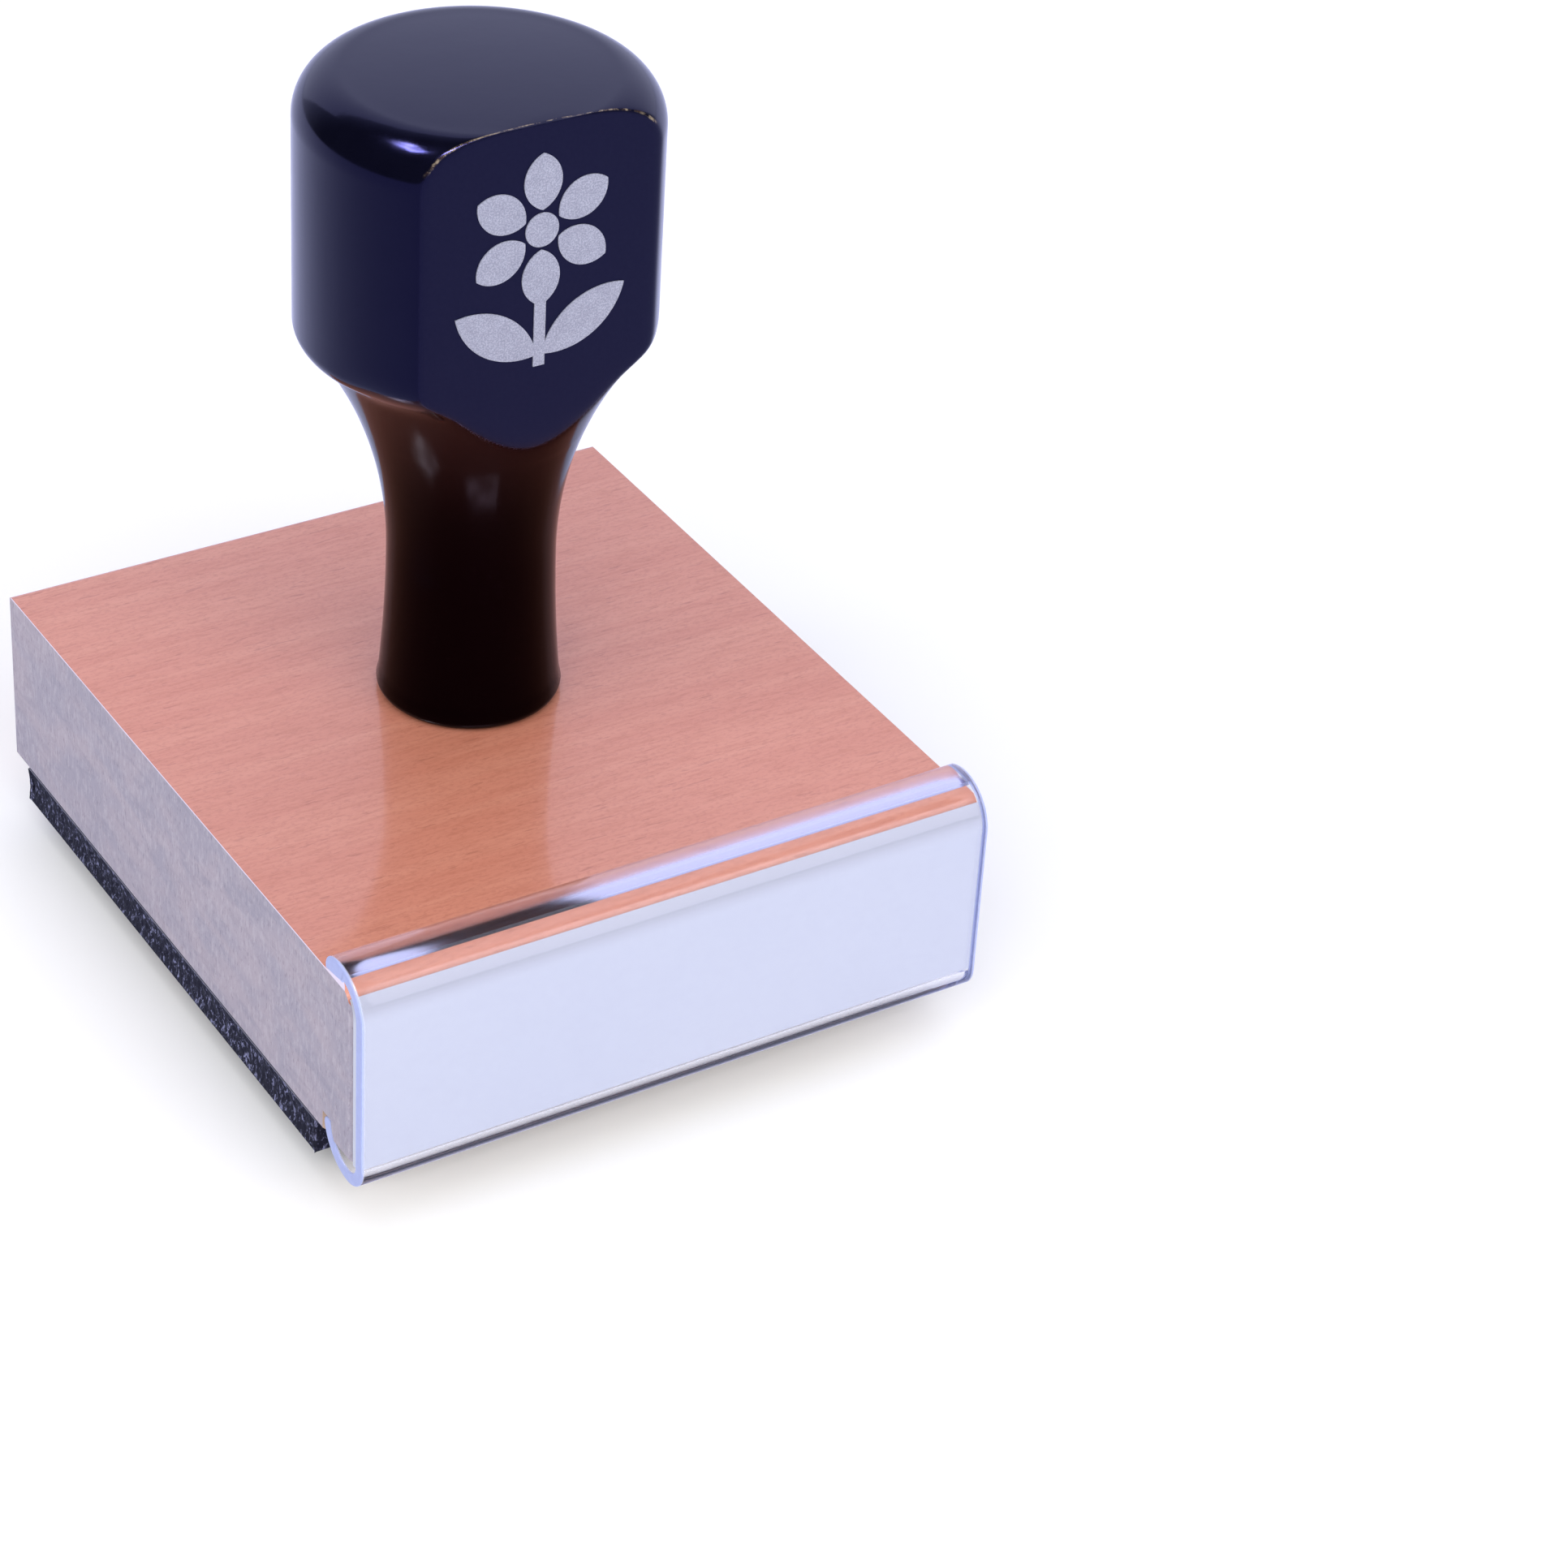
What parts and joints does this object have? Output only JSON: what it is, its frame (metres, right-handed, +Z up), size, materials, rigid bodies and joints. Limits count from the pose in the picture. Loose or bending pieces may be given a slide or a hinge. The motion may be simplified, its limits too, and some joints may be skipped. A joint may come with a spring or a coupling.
{
  "type": "wood handled rubber stamp",
  "caption": "Hand stamp: turned lacquered knob handle on a square wood block, clear index cover over a blank label, foam cushion and round rubber die.",
  "frame": {"origin": "centre of the printing face, on the handle's axis, on the plane that the raised rubber prints on", "axes": "+Z up along the handle, -Y towards the index label, +X along the block's front edge"},
  "size_m": [0.057, 0.0653, 0.0784],
  "materials": {
    "handle_lacquer": "gloss lacquer, navy black on the knob and dark brown on the neck",
    "emblem_ink": "matt light grey printed ink",
    "block_wood": "satin lacquer over stained long faces, raw sanded end grain",
    "clear_cover": "clear gloss",
    "label_card": "smooth white card",
    "screw_steel": "plain zinc plated",
    "adhesive_film": "translucent film",
    "cushion_foam": "matt black cut foam",
    "die_rubber": "matt red gum rubber"
  },
  "bodies": {
    "block": {"handle": "handle_lacquer", "emblem": "emblem_ink", "mount_block": "block_wood", "handle_screw": "screw_steel", "cushion_film": "adhesive_film", "cushion": "cushion_foam", "die_film": "adhesive_film", "rubber_die": "die_rubber"},
    "cover": {"index_cover": "clear_cover"},
    "label": {"index_label": "label_card"}
  },
  "joints": [
    {"name": "cover_slide", "type": "slide", "parent": "block", "child": "cover", "axis": [1, 0, 0], "range_m": [-0.05, 0.05]},
    {"name": "label_slide", "type": "slide", "parent": "block", "child": "label", "axis": [1, 0, 0], "range_m": [-0.05, 0.05]}
  ]
}
